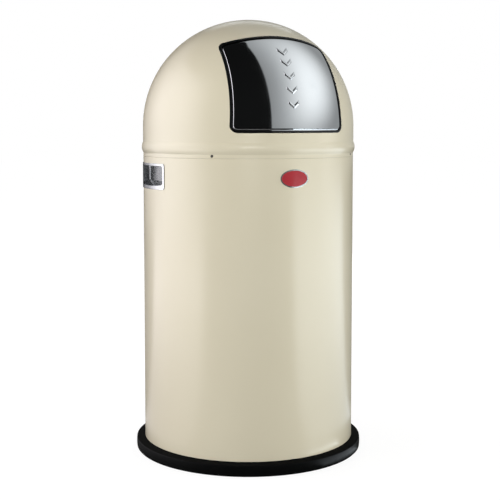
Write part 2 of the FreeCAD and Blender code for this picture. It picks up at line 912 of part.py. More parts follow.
bracket_ear = common("bracket_ear", fuse("bracket_flat", [bracket_web, bracket_hub]), dome_inside)
bracket_foot = common("bracket_foot", bracket_foot_skin, bracket_foot_box)
bracket_blank = fuse("bracket_blank", [bracket_ear, bracket_foot])
bracket_bore = cylinder("bracket_bore", s.rod_radius, rod_length, -s.rod_end, hinge_y, hinge_z, ALONG_X)
right_bracket = finished("right_hinge_bracket", cut("bracket_right", bracket_blank, bracket_bore))
finished("left_hinge_bracket", mirrored("bracket_left", right_bracket))


# Flap arms
# A pressed arm on each side, welded to the back of the flap, with a boss that turns on
# the rod and a heel that meets the dome when the flap is fully open.

flap_back = doc.addObject("Part::Sphere", "flap_back")
bind(flap_back, Radius=field_inner - s.weld_gap)
place(flap_back, z=hood_centre)
arm_front = hinge_y - s.arm_reach_share * hood_radius
arm_high = hinge_z - s.arm_high_drop_share * hood_radius
arm_low = hinge_z - s.arm_low_drop_share * hood_radius
arm_web = pad("arm_web", "YZ_Plane", s.arm_sheet, [
    (hinge_y, hinge_z + s.arm_hub_radius),
    (arm_front, arm_high),
    (arm_front, arm_low),
    (hinge_y, hinge_z - s.arm_hub_radius),
], lift=s.arm_place)
arm_hub = cylinder(
    "arm_hub", s.arm_hub_radius, s.arm_sheet + s.arm_boss,
    s.arm_place - s.arm_boss, hinge_y, hinge_z, ALONG_X,
)
arm_outer_face = s.arm_place + s.arm_sheet
dome_reach = root(hood_inner * hood_inner - arm_outer_face * arm_outer_face) - hinge_distance
heel_place = dome_reach - s.heel_gap - s.heel_radius
heel_way_y = out_y * cosine(s.flap_travel_angle) + out_z * sine(s.flap_travel_angle)
heel_way_z = out_z * cosine(s.flap_travel_angle) - out_y * sine(s.flap_travel_angle)
heel_y = hinge_y + heel_place * heel_way_y
heel_z = hinge_z + heel_place * heel_way_z
arm_heel = cylinder("arm_heel", s.heel_radius, s.arm_sheet, s.arm_place, heel_y, heel_z, ALONG_X)
heel_side_y = -(s.heel_radius * heel_way_z)
heel_side_z = s.heel_radius * heel_way_y
heel_web = pad("heel_web", "YZ_Plane", s.arm_sheet, [
    (hinge_y - heel_side_y, hinge_z - heel_side_z),
    (heel_y - heel_side_y, heel_z - heel_side_z),
    (heel_y + heel_side_y, heel_z + heel_side_z),
    (hinge_y + heel_side_y, hinge_z + heel_side_z),
], lift=s.arm_place)
arm_plate = common("arm_plate", arm_web, flap_back)
arm_foot_box = box(
    "arm_foot_box", s.arm_place - s.arm_foot, s.arm_place + s.arm_sheet,
    -hood_radius, hinge_y, arm_low + s.arm_hub_radius, hinge_z - s.arm_hub_radius - 2 * s.arm_sheet,
)
arm_foot = common("arm_foot", dome_skin("arm_foot_skin", field_inner - s.weld_gap, s.arm_sheet), arm_foot_box)
arm_blank = fuse("arm_blank", [arm_plate, arm_hub, arm_heel, heel_web, arm_foot])
arm_bore = cylinder(
    "arm_bore", s.rod_radius + s.running_gap, rod_length, -s.rod_end, hinge_y, hinge_z, ALONG_X,
)
right_arm = finished("right_flap_arm", cut("arm_right", arm_blank, arm_bore))
finished("left_flap_arm", mirrored("arm_left", right_arm))


# Flap springs
# A torsion spring on each side of the rod. One leg bears on the dome and the other on
# the back of the flap, so opening the flap winds the coil up.


def biarc(start, start_way, end, end_way):
    """Two arcs that join two points and keep the direction at both."""
    across = end - start
    ways = start_way + end_way
    slack = 4 - ways.dot(ways)
    along = across.dot(ways)
    reach = (math.sqrt(along * along + slack * across.dot(across)) - along) / slack
    first_knee = start + start_way * reach
    last_knee = end - end_way * reach
    joint = (first_knee + last_knee) / 2
    arcs = []
    for low, knee, high in ((start, first_knee, joint), (joint, last_knee, end)):
        middle = (low + high) / 2
        half = (high - low).Length / 2
        rise = (knee - middle).Length
        bulge = half * math.tan(math.atan2(rise, half) / 2)
        arcs.append(Part.Arc(low, middle + (knee - middle) * (bulge / rise), high).toShape())
    return arcs


def reach_to_sphere(point, way, radius):
    """How far a straight leg runs from a point before it meets a sphere about the dome's centre."""
    centre = Vector(0, 0, float(hood_centre))
    offset = point - centre
    along = offset.dot(way)
    return math.sqrt(along * along - offset.dot(offset) + radius * radius) - along


def spring_shape():
    """One wire: a straight leg to the dome, the coil, and a straight leg to the flap."""
    hinge = Vector(0, float(hinge_y), float(hinge_z))
    start_angle = math.radians(s.spring_hood_angle + 90)
    end_angle = math.radians(s.spring_flap_angle - 90) + 2 * math.pi * (SPRING_TURNS + 1)
    climb = float(s.spring_pitch) / (2 * math.pi)
    radius = float(s.spring_coil_radius)
    pace = math.hypot(radius, climb)

    def point_at(angle):
        climbed = float(s.spring_start) + climb * (angle - start_angle)
        return hinge + Vector(climbed, radius * math.cos(angle), radius * math.sin(angle))

    def way_at(angle):
        return Vector(climb, -radius * math.sin(angle), radius * math.cos(angle)) / pace

    quarters = 4 * (SPRING_TURNS + 1)
    angles = [start_angle + (end_angle - start_angle) * number / quarters for number in range(quarters + 1)]
    clear = float(s.spring_wire_radius + s.spring_gap)
    first = point_at(angles[0])
    back = way_at(angles[0]) * -1
    leg_end = first + back * reach_to_sphere(first, back, float(hood_inner) - clear)
    last = point_at(angles[-1])
    ahead = way_at(angles[-1])
    foot = last + ahead * reach_to_sphere(last, ahead, float(field_inner) - clear)
    edges = [Part.LineSegment(leg_end, first).toShape()]
    for low, high in zip(angles, angles[1:]):
        edges += biarc(point_at(low), way_at(low), point_at(high), way_at(high))
    edges.append(Part.LineSegment(last, foot).toShape())
    path = Part.Wire(edges)
    section = Part.Wire(Part.Circle(leg_end, way_at(angles[0]), float(s.spring_wire_radius)).toShape())
    turn_steps = 60
    coil = [
        point_at(angles[0] + (angles[-1] - angles[0]) * step / (turn_steps * (SPRING_TURNS + 1)))
        for step in range(turn_steps * (SPRING_TURNS + 1) + 1)
    ]
    apart = min(
        (coil[far] - coil[near]).Length
        for near in range(0, len(coil), 5) for far in range(near + turn_steps // 2, len(coil))
    )
    print(f"least gap between the spring's turns: {apart - 2 * float(s.spring_wire_radius):.2f} mm")
    return path.makePipeShell([section], True, False)


right_spring = doc.addObject("Part::Feature", "spring_right")
right_spring.Shape = spring_shape()
finished("right_flap_spring", right_spring)
finished("left_flap_spring", mirrored("spring_left", right_spring))


# Inner liner
# A galvanised bucket: a straight band under a wired rim, one swaged rib, a slightly
# tapered wall and a floor set up inside the foot.

liner_top = s.body_height - s.liner_drop
liner_radius = s.body_radius - s.liner_clearance
liner_foot = liner_radius - s.liner_taper
liner_low = floor_top + s.liner_seat_gap
band_low = liner_top - s.liner_band
liner_floor = liner_low + s.liner_floor_rise
rib_high = band_low - s.liner_rib_gap
rib_low = rib_high - s.liner_rib_span
rib_radius = (
    s.liner_rib_span * s.liner_rib_span / 4 + s.liner_rib_rise * s.liner_rib_rise
) / (2 * s.liner_rib_rise)


def taper_at(height):
    """The wall's outer radius at a height below the straight band."""
    share = (height - liner_low) / (band_low - liner_low)
    return liner_foot + (liner_radius - liner_foot) * share


rim_low = liner_top - s.liner_rim_height
liner_inner = liner_radius - s.liner_sheet
foot_inner = liner_foot - s.liner_sheet
liner = revolve("liner", [
    (liner_foot, liner_low),
    (taper_at(rib_low), rib_low),
    (taper_at(rib_high), rib_high),
    (liner_radius, band_low),
    (liner_radius, rim_low),
    (liner_radius, liner_top),
    (liner_inner, liner_top),
    (liner_inner, band_low),
    (taper_at(rib_high) - s.liner_sheet, rib_high),
    (taper_at(rib_low) - s.liner_sheet, rib_low),
    (taper_at(liner_floor + s.liner_sheet) - s.liner_sheet, liner_floor + s.liner_sheet),
    (0, liner_floor + s.liner_sheet),
    (0, liner_floor),
    (taper_at(liner_floor) - s.liner_sheet, liner_floor),
    (foot_inner, liner_low),
], {1: (rib_radius, 1), 4: (s.liner_rim_radius, 1), 8: (rib_radius, -1)})


# Bail ears and their rivets
# A bridged strap on each side of the liner, held by two rivets. The hooked end of the
# bail turns in a hole through the bridge.

ear_z = liner_top - s.ear_drop
ear_outer = liner_radius + s.ear_raise + s.ear_sheet
ear_low = ear_z - s.ear_half_height
ear_high = ear_z + s.ear_half_height
strap_band = tube("ear_strap_band", liner_radius + s.ear_sheet, liner_radius, ear_low, ear_high)
strap_box = box(
    "ear_strap_box", nothing, ear_outer, -s.ear_half_width, s.ear_half_width, ear_low, ear_high,
)
strap = common("ear_strap", strap_band, strap_box)
bridge_outer_half = s.ear_bridge_half + s.ear_sheet
bridge = box(
    "ear_bridge", liner_inner, ear_outer, -bridge_outer_half, bridge_outer_half, ear_low, ear_high,
)
bridge_room = box(
    "ear_bridge_room", nothing, ear_outer - s.ear_sheet,
    -s.ear_bridge_half, s.ear_bridge_half, ear_low - s.overrun, ear_high + s.overrun,
)
liner_core = cylinder("ear_liner_core", liner_radius, liner_top, z=0.0)
ear_bore = cylinder(
    "ear_bore", s.bail_wire_radius + s.running_gap, s.overrun, ear_outer - s.overrun, 0.0, ear_z, ALONG_X,
)
rivet_turn = math.degrees(math.asin(s.ear_rivet_place / liner_radius))
strap_face = liner_radius + s.ear_sheet
ear_rivets = []
ear_holes = []
for side, place_y, turn in (
    ("front", -s.ear_rivet_place, 90 - rivet_turn),
    ("back", s.ear_rivet_place, 90 + rivet_turn),
):
    share = strap_face / liner_radius
    pin = rivet(
        f"ear_rivet_{side}", s.ear_rivet_head_radius, s.ear_rivet_head_height, s.rivet_shank_radius,
        s.rivet_tail_radius, s.ear_rivet_tail_height, s.ear_sheet + s.liner_sheet,
    )
    spot_x = share * root(liner_radius * liner_radius - s.ear_rivet_place * s.ear_rivet_place)
    ear_rivets.append(place(pin, spot_x, share * place_y, ear_z, facing(turn)))
    hole_share = (liner_radius - s.overrun) / liner_radius
    hole = cylinder(
        f"ear_rivet_hole_{side}", s.rivet_shank_radius, 2 * s.overrun,
        hole_share * root(liner_radius * liner_radius - s.ear_rivet_place * s.ear_rivet_place),
        hole_share * place_y, ear_z, facing(turn),
    )
    ear_holes.append(hole)
right_ear_holes = group("ear_holes_right", ear_holes)
ear_solid = cut("ear_bridged", fuse("ear_raised", [strap, bridge]), bridge_room)
ear_solid = cut("ear_seated", ear_solid, liner_core)
ear_solid = cut("ear_bored", ear_solid, ear_bore)
right_ear = finished("right_bail_ear", cut("ear_right", ear_solid, right_ear_holes))
finished("left_bail_ear", mirrored("ear_left", right_ear))
right_ear_rivets = group("ear_rivets_right", ear_rivets)
left_ear_rivets = mirrored("ear_rivets_left", right_ear_rivets)
finished("ear_rivets", group("ear_rivet_set", [right_ear_rivets, left_ear_rivets]))
left_ear_holes = mirrored("ear_holes_left", right_ear_holes)
liner_holes = group("liner_holes", [right_ear_holes, left_ear_holes])
finished("inner_liner", cut("liner_drilled", liner, liner_holes))


# Bail
# A bent wire whose ends hook into the ears, folded back and down to rest outside the
# liner, with a moulded sleeve on its straight middle.

bail_half_width = liner_radius + s.bail_side_gap
bail_reach = liner_radius + s.bail_back_gap
hook_end = liner_radius + s.bail_hook_gap
hook_start = bail_half_width - s.bail_hook_bend
bow = bail_half_width - s.bail_straight_half
bow_start = bail_reach - bow
bail = new_body("bail")
bail_path = new_sketch(bail, "bail_path", "XY_Plane")
half_path = [
    (hook_end, 0),
    (hook_start, 0),
    (bail_half_width, s.bail_hook_bend),
    (bail_half_width, bow_start),
    (s.bail_straight_half, bail_reach),
]
other_half = [(-x, y) for x, y in reversed(half_path)]
draw(bail_path, half_path + other_half, {
    1: (s.bail_hook_bend, 1), 3: (bow, 1), 5: (bow, 1), 7: (s.bail_hook_bend, 1),
}, closed=False)
bail_section = new_sketch(bail, "bail_section", "YZ_Plane", hook_end)
wire_circle = Part.Circle(Vector(0, 0, 0), Vector(0, 0, 1), float(s.bail_wire_radius))
ring = bail_section.addGeometry(wire_circle, False)
constrain(bail_section, None, "Coincident", ring, 3, -1, 1)
constrain(bail_section, s.bail_wire_radius.formula, "Radius", ring, float(s.bail_wire_radius))
bail_sweep = bail.newObject("PartDesign::AdditivePipe", "bail_sweep")
bail_sweep.Profile = bail_section
bail_sweep.Spine = (bail_path, [f"Edge{number}" for number in range(1, len(half_path) * 2)])
bail_sweep.Transition = "Transformed"
doc.recompute()
folded = Rotation(Vector(1, 0, 0), -float(s.bail_fold_angle))
place(bail, 0.0, 0.0, ear_z, folded)
finished("bail_wire", bail)

sleeve_half = s.bail_grip_length / 2
sleeve = revolve("sleeve", [
    (s.bail_wire_radius, -sleeve_half), (s.bail_grip_radius, -sleeve_half),
    (s.bail_grip_radius, sleeve_half), (s.bail_wire_radius, sleeve_half),
])
for height in (-sleeve_half, sleeve_half):
    round_edges(sleeve, s.bail_grip_round, on_circle(s.bail_grip_radius, height))
place(
    sleeve, 0.0, bail_reach * cosine(s.bail_fold_angle),
    ear_z - bail_reach * sine(s.bail_fold_angle), ALONG_X,
)
finished("bail_grip", sleeve)


# Check and write every piece

doc.recompute()
for feature in doc.Objects:
    if "Invalid" in feature.State or "Error" in feature.State:
        raise RuntimeError(f"{feature.Label} failed: {feature.State}")
os.makedirs("parts", exist_ok=True)
for feature in nodes:
    shape = feature.Shape
    if shape.isNull() or not shape.isValid() or not shape.Solids:
        raise RuntimeError(f"{feature.Label} has no sound solid")
    shape.exportStep(f"parts/{feature.Label}.step")
    print(f"{feature.Label}: {len(shape.Solids)} solids, {shape.Volume / 1000:.2f} cm3")
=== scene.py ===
import math

import bpy
from mathutils import Matrix, Vector


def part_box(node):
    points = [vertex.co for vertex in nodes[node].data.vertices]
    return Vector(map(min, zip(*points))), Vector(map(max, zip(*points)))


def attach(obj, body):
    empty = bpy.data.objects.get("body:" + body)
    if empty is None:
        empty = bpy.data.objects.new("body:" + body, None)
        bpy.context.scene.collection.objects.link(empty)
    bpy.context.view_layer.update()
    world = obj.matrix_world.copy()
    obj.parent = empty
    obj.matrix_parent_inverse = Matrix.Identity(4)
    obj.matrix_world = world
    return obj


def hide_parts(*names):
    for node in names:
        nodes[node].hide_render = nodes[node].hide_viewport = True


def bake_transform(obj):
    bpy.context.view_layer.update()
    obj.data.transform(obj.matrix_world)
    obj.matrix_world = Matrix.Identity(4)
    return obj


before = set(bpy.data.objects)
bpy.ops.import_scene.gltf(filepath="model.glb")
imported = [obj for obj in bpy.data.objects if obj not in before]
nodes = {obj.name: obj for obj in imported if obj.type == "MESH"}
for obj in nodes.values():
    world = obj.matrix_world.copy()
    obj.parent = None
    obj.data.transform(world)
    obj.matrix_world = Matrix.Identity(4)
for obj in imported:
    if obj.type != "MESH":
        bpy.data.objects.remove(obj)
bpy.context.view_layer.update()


# Base ring
# A thick ring moulded in black rubber that the foot of the body stands in.
# It keeps the steel off the floor and takes the knocks of a broom.


def linear(hex_colour):
    """An sRGB hex colour as the linear values that a socket takes."""
    shares = [int(hex_colour[start:start + 2], 16) / 255 for start in (1, 3, 5)]
    return [s / 12.92 if s <= 0.04045 else ((s + 0.055) / 1.055) ** 2.4 for s in shares] + [1.0]


def wire(tree, node, inputs):
    """Set each input to a value, or link it to another node's output."""
    for name, value in inputs.items():
        if isinstance(value, bpy.types.NodeSocket):
            tree.links.new(value, node.inputs[name])
        else:
            node.inputs[name].default_value = value


def add_node(tree, kind, settings, inputs):
    """One node with its settings and links."""
    node = tree.nodes.new(kind)
    for name, value in settings.items():
        setattr(node, name, value)
    wire(tree, node, inputs)
    return node


def start_material(name):
    """A new material: its tree, its shader and the place on the piece that patterns read."""
    material = bpy.data.materials.new(name)
    material.use_nodes = True
    tree = material.node_tree
    place = add_node(tree, "ShaderNodeTexCoord", {}, {}).outputs["Object"]
    return material, tree, tree.nodes["Principled BSDF"], place


def repeats(millimetres):
    """The scale of a pattern whose features are this far apart."""
    return 1000 / millimetres


# The mixed colours of a Mix node sit on these sockets.
FIRST, SECOND, MIXED = 6, 7, 2


def dress(material, *names):
    """Give CAD pieces their finish."""
    for name in names:
        mesh = nodes[name].data
        mesh.materials.clear()
        mesh.materials.append(material)


# Moulded rubber: a soft black with a cloudy bloom and a fine spark-eroded grain from the
# mould. The real grain is near 1 mm and is drawn at 2.5 mm so that it shows. The top face
# is duller than the wall.
rubber, tree, shader, place = start_material("moulded_rubber")
bloom = add_node(tree, "ShaderNodeTexNoise", {}, {"Vector": place, "Scale": repeats(45), "Detail": 4.0})
grain = add_node(tree, "ShaderNodeTexNoise", {}, {"Vector": place, "Scale": repeats(2.5), "Detail": 2.0})
tone = add_node(tree, "ShaderNodeMix", {"data_type": "RGBA"}, {
    "Factor": bloom.outputs[0], FIRST: linear("#030404"), SECOND: linear("#070808"),
})
polish = add_node(tree, "ShaderNodeMapRange", {}, {"Value": bloom.outputs[0], "To Min": 0.46, "To Max": 0.60})
relief = add_node(tree, "ShaderNodeBump", {}, {
    "Height": grain.outputs[0], "Strength": 0.25, "Distance": 0.0002,
})
facing = add_node(tree, "ShaderNodeNewGeometry", {}, {})
upward = add_node(tree, "ShaderNodeSeparateXYZ", {}, {"Vector": facing.outputs["Normal"]})
dulled = add_node(tree, "ShaderNodeMapRange", {}, {
    "Value": upward.outputs["Z"], "From Min": 0.5, "From Max": 0.95,
    "To Min": polish.outputs[0], "To Max": 1.0,
})
wire(tree, shader, {
    "Base Color": tone.outputs[MIXED], "Roughness": dulled.outputs[0], "Normal": relief.outputs[0],
    "IOR": 1.52, "Specular IOR Level": 0.12,
})
dress(rubber, "base_ring")


# Floor pan
# A pressed steel disc with a dished middle, spot-welded inside the foot of the body
# and left in its zinc plating.

# Zinc plate: a cool grey metal with cloudy patches where the passivation is thicker.
zinc, tree, shader, place = start_material("zinc_plated_steel")
cloud = add_node(tree, "ShaderNodeTexNoise", {}, {
    "Vector": place, "Scale": repeats(22), "Detail": 5.0, "Distortion": 0.6,
})
scratch = add_node(tree, "ShaderNodeTexNoise", {}, {"Vector": place, "Scale": repeats(1.5), "Detail": 2.0})
tone = add_node(tree, "ShaderNodeMix", {"data_type": "RGBA"}, {
    "Factor": cloud.outputs[0], FIRST: linear("#989da1"), SECOND: linear("#c0c2bf"),
})
polish = add_node(tree, "ShaderNodeMapRange", {}, {"Value": cloud.outputs[0], "To Min": 0.26, "To Max": 0.46})
relief = add_node(tree, "ShaderNodeBump", {}, {
    "Height": scratch.outputs[0], "Strength": 0.12, "Distance": 0.0001,
})
wire(tree, shader, {
    "Base Color": tone.outputs[MIXED], "Roughness": polish.outputs[0], "Normal": relief.outputs[0],
    "Metallic": 1.0,
})
dress(zinc, "floor_pan")


# Body shell
# Sheet steel rolled to a cylinder, seam-welded and hemmed at the top. It is powder-coated
# cream inside and out, and stands in the base ring.

# Powder coat: a satin cream skin of fused polyester. It has a slight orange peel, which is
# about 3 mm across and is drawn at 5 mm so that it shows, and faint changes of film thickness.
powder_coat, tree, shader, place = start_material("cream_powder_coat")
film = add_node(tree, "ShaderNodeTexNoise", {}, {"Vector": place, "Scale": repeats(160), "Detail": 2.0})
peel = add_node(tree, "ShaderNodeTexNoise", {}, {"Vector": place, "Scale": repeats(5), "Detail": 1.5})
tone = add_node(tree, "ShaderNodeMix", {"data_type": "RGBA"}, {
    "Factor": film.outputs[0], FIRST: linear("#e1d9be"), SECOND: linear("#e5dec5"),
})
polish = add_node(tree, "ShaderNodeMapRange", {}, {"Value": peel.outputs[0], "To Min": 0.23, "To Max": 0.27})
relief = add_node(tree, "ShaderNodeBump", {}, {
    "Height": peel.outputs[0], "Strength": 0.03, "Distance": 0.0001,
})
wire(tree, shader, {
    "Base Color": tone.outputs[MIXED], "Roughness": polish.outputs[0], "Normal": relief.outputs[0],
    "IOR": 1.5, "Specular IOR Level": 0.85,
})
dress(powder_coat, "body_shell")


# Side grips
# A deep tray with a flat frame, pressed in thin steel and chrome-plated. One is clipped into
# a cut-out on each side of the body, under the seam.

# Chrome plate: a blue-white metal, veiled by the drawing marks beneath.
chrome, tree, shader, place = start_material("chrome_plated_steel")
veil = add_node(tree, "ShaderNodeTexNoise", {}, {"Vector": place, "Scale": repeats(14), "Detail": 4.0})
polish = add_node(tree, "ShaderNodeMapRange", {}, {"Value": veil.outputs[0], "To Min": 0.18, "To Max": 0.30})
tone = add_node(tree, "ShaderNodeMix", {"data_type": "RGBA"}, {
    "Factor": veil.outputs[0], FIRST: linear("#b6babd"), SECOND: linear("#c9cbcb"),
})
wire(tree, shader, {"Base Color": tone.outputs[MIXED], "Roughness": polish.outputs[0], "Metallic": 1.0})
dress(chrome, "right_grip", "left_grip")


# Front badge
# A plain oval plate, die-struck with a bright rim and filled with red enamel. It follows the
# curve of the body and is stuck on below the seam.

badge_low, badge_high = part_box("front_badge")
badge_middle = (badge_low + badge_high) / 2
badge_half_length = (badge_high.x - badge_low.x) / 2
badge_half_height = (badge_high.z - badge_low.z) / 2
badge_rim = 0.002

# Enamel: glass-like and deep red, pooled inside the bare rim of the struck plate.
enamel, tree, shader, place = start_material("red_enamel")
field = add_node(tree, "ShaderNodeMapping", {"vector_type": "TEXTURE"}, {
    "Vector": place,
    "Location": (badge_middle.x, badge_middle.y, badge_middle.z),
    "Scale": (badge_half_length - badge_rim, 1.0, badge_half_height - badge_rim),
})
flat = add_node(tree, "ShaderNodeVectorMath", {"operation": "MULTIPLY"}, {0: field.outputs[0], 1: (1, 0, 1)})
reach = add_node(tree, "ShaderNodeVectorMath", {"operation": "LENGTH"}, {0: flat.outputs[0]})
rim = add_node(tree, "ShaderNodeMapRange", {}, {
    "Value": reach.outputs["Value"], "From Min": 0.99, "From Max": 1.01,
})
pool = add_node(tree, "ShaderNodeTexNoise", {}, {"Vector": place, "Scale": repeats(9), "Detail": 2.0})
red = add_node(tree, "ShaderNodeMix", {"data_type": "RGBA"}, {
    "Factor": pool.outputs[0], FIRST: linear("#ac3138"), SECOND: linear("#b93c43"),
})
tone = add_node(tree, "ShaderNodeMix", {"data_type": "RGBA"}, {
    "Factor": rim.outputs[0], FIRST: red.outputs[MIXED], SECOND: linear("#e0e0de"),
})
wire(tree, shader, {
    "Base Color": tone.outputs[MIXED], "Metallic": rim.outputs[0], "Roughness": 0.14,
    "Coat Weight": 0.6, "Coat Roughness": 0.05,
})
dress(enamel, "front_badge")


# Dome hood
# One deep-drawn steel shell with a swaged bead above its skirt. It is powder-coated like the
# body that it stands on, and lifts off.

dress(powder_coat, "dome_hood")


# Collar and its rivets
# A zinc-plated ring inside the skirt that plugs into the top of the body. Four dark rivets
# under the bead hold it.

# Dark plating: a blackened steel whose crown is rubbed a little brighter.
dark_plate, tree, shader, place = start_material("blackened_rivet_steel")
rub = add_node(tree, "ShaderNodeTexNoise", {}, {"Vector": place, "Scale": repeats(3), "Detail": 3.0})
tone = add_node(tree, "ShaderNodeMix", {"data_type": "RGBA"}, {
    "Factor": rub.outputs[0], FIRST: linear("#4a4741"), SECOND: linear("#7d7a72"),
})
polish = add_node(tree, "ShaderNodeMapRange", {}, {"Value": rub.outputs[0], "To Min": 0.28, "To Max": 0.48})
wire(tree, shader, {"Base Color": tone.outputs[MIXED], "Roughness": polish.outputs[0], "Metallic": 1.0})
dress(zinc, "hood_collar")
dress(dark_plate, "collar_rivets")


# Opening trim
# Rubber edging, extruded in a U section and pushed over the cut edge of the hood, so that
# the flap closes against it softly.

# Extruded rubber: as black as the base but smoother, with a soft sheen from the die.
edging, tree, shader, place = start_material("extruded_rubber_edging")
bloom = add_node(tree, "ShaderNodeTexNoise", {}, {"Vector": place, "Scale": repeats(18), "Detail": 3.0})
tone = add_node(tree, "ShaderNodeMix", {"data_type": "RGBA"}, {
    "Factor": bloom.outputs[0], FIRST: linear("#060707"), SECOND: linear("#0c0d0d"),
})
polish = add_node(tree, "ShaderNodeMapRange", {}, {"Value": bloom.outputs[0], "To Min": 0.30, "To Max": 0.42})
wire(tree, shader, {
    "Base Color": tone.outputs[MIXED], "Roughness": polish.outputs[0], "IOR": 1.52, "Specular IOR Level": 0.2,
})
dress(edging, "opening_trim")


# Push flap
# Stainless sheet, pressed to the curve of the dome with a raised field and polished to a
# mirror. A column of chevrons is struck up in its middle, where the hand pushes.


def select_only(piece):
    """Make one piece the active one and the only one selected."""
    bpy.ops.object.select_all(action="DESELECT")
    bpy.context.view_layer.objects.active = piece
    piece.select_set(True)


def edit(piece):
    """Open one piece for editing with nothing selected in it."""
    select_only(piece)
    bpy.ops.object.mode_set(mode="EDIT")
    bpy.ops.mesh.select_all(action="DESELECT")


def end_edit():
    """Go back from editing to whole objects."""
    bpy.ops.object.mode_set(mode="OBJECT")


def pick(piece, wanted):
    """Select the vertices of the piece in edit mode whose places pass a test."""
    end_edit()
    for vertex in piece.data.vertices:
        vertex.select = wanted(vertex.co)
    for edge in piece.data.edges:
        edge.select = all(piece.data.vertices[end].select for end in edge.vertices)
    for face in piece.data.polygons:
        face.select = all(piece.data.vertices[corner].select for corner in face.vertices)
    bpy.ops.object.mode_set(mode="EDIT")


def face_outward():
    """Turn every face of the piece in edit mode outward."""
    bpy.ops.mesh.select_all(action="SELECT")
    bpy.ops.mesh.normals_make_consistent(inside=False)


def settle(piece):
    """Put a piece's place, turn and size into its mesh."""
    select_only(piece)
    bpy.ops.object.transform_apply(location=True, rotation=True, scale=True)


def apply_modifier(piece, kind, **settings):
    """Add one modifier, set it and apply it."""
    select_only(piece)
    modifier = piece.modifiers.new(kind.lower(), kind)
    for name, value in settings.items():
        setattr(modifier, name, value)
    bpy.ops.object.modifier_apply(modifier=modifier.name)


def smooth(piece, degrees):
    """Shade smooth across every edge that is flatter than an angle."""
    select_only(piece)
    bpy.ops.object.shade_smooth_by_angle(angle=math.radians(degrees))


def upright_sheet():
    """A square sheet that stands facing -Y, for a piece that starts flat."""
    bpy.ops.mesh.primitive_plane_add(size=1, rotation=(math.pi / 2, 0, 0))
    sheet = bpy.context.object
    settle(sheet)
    return sheet


# Polished stainless: a slightly cool mirror with the faintest cloud left by the polishing mop.
stainless, tree, shader, place = start_material("polished_stainless_steel")
mop = add_node(tree, "ShaderNodeTexNoise", {}, {
    "Vector": place, "Scale": repeats(60), "Detail": 3.0, "Distortion": 1.0,
})
polish = add_node(tree, "ShaderNodeMapRange", {}, {"Value": mop.outputs[0], "To Min": 0.05, "To Max": 0.10})
tone = add_node(tree, "ShaderNodeMix", {"data_type": "RGBA"}, {
    "Factor": mop.outputs[0], FIRST: linear("#d9dcdf"), SECOND: linear("#e2e4e6"),
})
wire(tree, shader, {"Base Color": tone.outputs[MIXED], "Roughness": polish.outputs[0], "Metallic": 1.0})

# Places that differ by less than this are the same place.
same_place = 1e-5

flap_low, flap_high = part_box("push_flap")
flap_sheet = 0.001
field_radius = -flap_low.y
field_rise = 0.002
border_radius = field_radius - field_rise
hood_step = 0.0005
dome_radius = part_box("body_shell")[1].x + hood_step
dome_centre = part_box("dome_hood")[1].z - dome_radius

# The flap starts as a flat blank: straight foot, leaning sides, and a head that is bowed to
# an arch once its corners are round.
foot_half = 0.1014
head_half = 0.0944
head_arc = 0.2958
foot_corner = 0.01133
head_corner = 0.0081
corner_steps = 8
long_cuts = 88
side_cuts = 60
corner_slack = 0.0001
shoulder = flap_high.z - head_arc + math.sqrt(head_arc ** 2 - head_half ** 2)
flap = upright_sheet()
flap.name = "mirror_flap"
for vertex in flap.data.vertices:
    half, height = (head_half, shoulder) if vertex.co.z > 0 else (foot_half, flap_low.z)
    vertex.co = (math.copysign(half, vertex.co.x), 0, height)
edit(flap)
for corner, half, height in ((foot_corner, foot_half, flap_low.z), (head_corner, head_half, shoulder)):
    pick(flap, lambda at: abs(abs(at.x) - half) < same_place and abs(at.z - height) < same_place)
    bpy.ops.mesh.bevel(offset=corner, segments=corner_steps, affect="VERTICES", clamp_overlap=False)
for height in (flap_low.z, shoulder):
    pick(flap, lambda at: abs(at.z - height) < same_place)
    bpy.ops.mesh.subdivide(number_cuts=long_cuts)
foot_end = flap_low.z + foot_corner
head_end = shoulder - head_corner
for side in (1, -1):
    pick(flap, lambda at: at.x * side > 0 and foot_end - corner_slack < at.z < head_end + corner_slack)
    bpy.ops.mesh.subdivide(number_cuts=side_cuts)
end_edit()
for vertex in flap.data.vertices:
    if vertex.co.z > head_end + corner_slack:
        vertex.co.z += math.sqrt(head_arc ** 2 - vertex.co.x ** 2) - math.sqrt(head_arc ** 2 - head_half ** 2)

# The field is pressed out of the blank: a border, a steep wall and a round shoulder.
field_border = 0.0037
wall_lean = 0.00005
shoulder_round = 0.0012
shoulder_steps = 6
steps = [(field_border, 0.0), (wall_lean, field_rise - shoulder_round)]
for number in range(shoulder_steps):
    before = math.pi / 2 * number / shoulder_steps
    after = math.pi / 2 * (number + 1) / shoulder_steps
    inward = shoulder_round * (math.cos(before) - math.cos(after))
    rise = shoulder_round * (math.sin(after) - math.sin(before))
    steps.append((inward, rise))
edit(flap)
bpy.ops.mesh.select_all(action="SELECT")
for inward, rise in steps:
    bpy.ops.mesh.inset(thickness=inward, use_even_offset=True)
    bpy.ops.transform.translate(value=(0, -rise, 0))
bpy.ops.mesh.delete(type="ONLY_FACE")

# The inside of the field is laid out from its foot to its head in a fine even grid.
foot_zone = foot_end + 0.0005
head_zone = head_end - 0.001
pick(flap, lambda at: at.y < same_place - field_rise and (at.z < foot_zone or at.z > head_zone))
bpy.ops.mesh.bridge_edge_loops(number_cuts=side_cuts, interpolation="LINEAR")
lean = (foot_half - head_half) / (shoulder - flap_low.z)
field_inset = sum(inward for inward, rise in steps) * math.hypot(1, lean)


def on_side_of_field(at):
    """Whether a place lies on one of the straight sides of the field."""
    side_x = foot_half - (at.z - flap_low.z) * lean - field_inset
    return at.y < same_place - field_rise and abs(abs(at.x) - side_x) < same_place


merge_reach = 0.0003
pick(flap, on_side_of_field)
bpy.ops.mesh.remove_doubles(threshold=merge_reach)
end_edit()


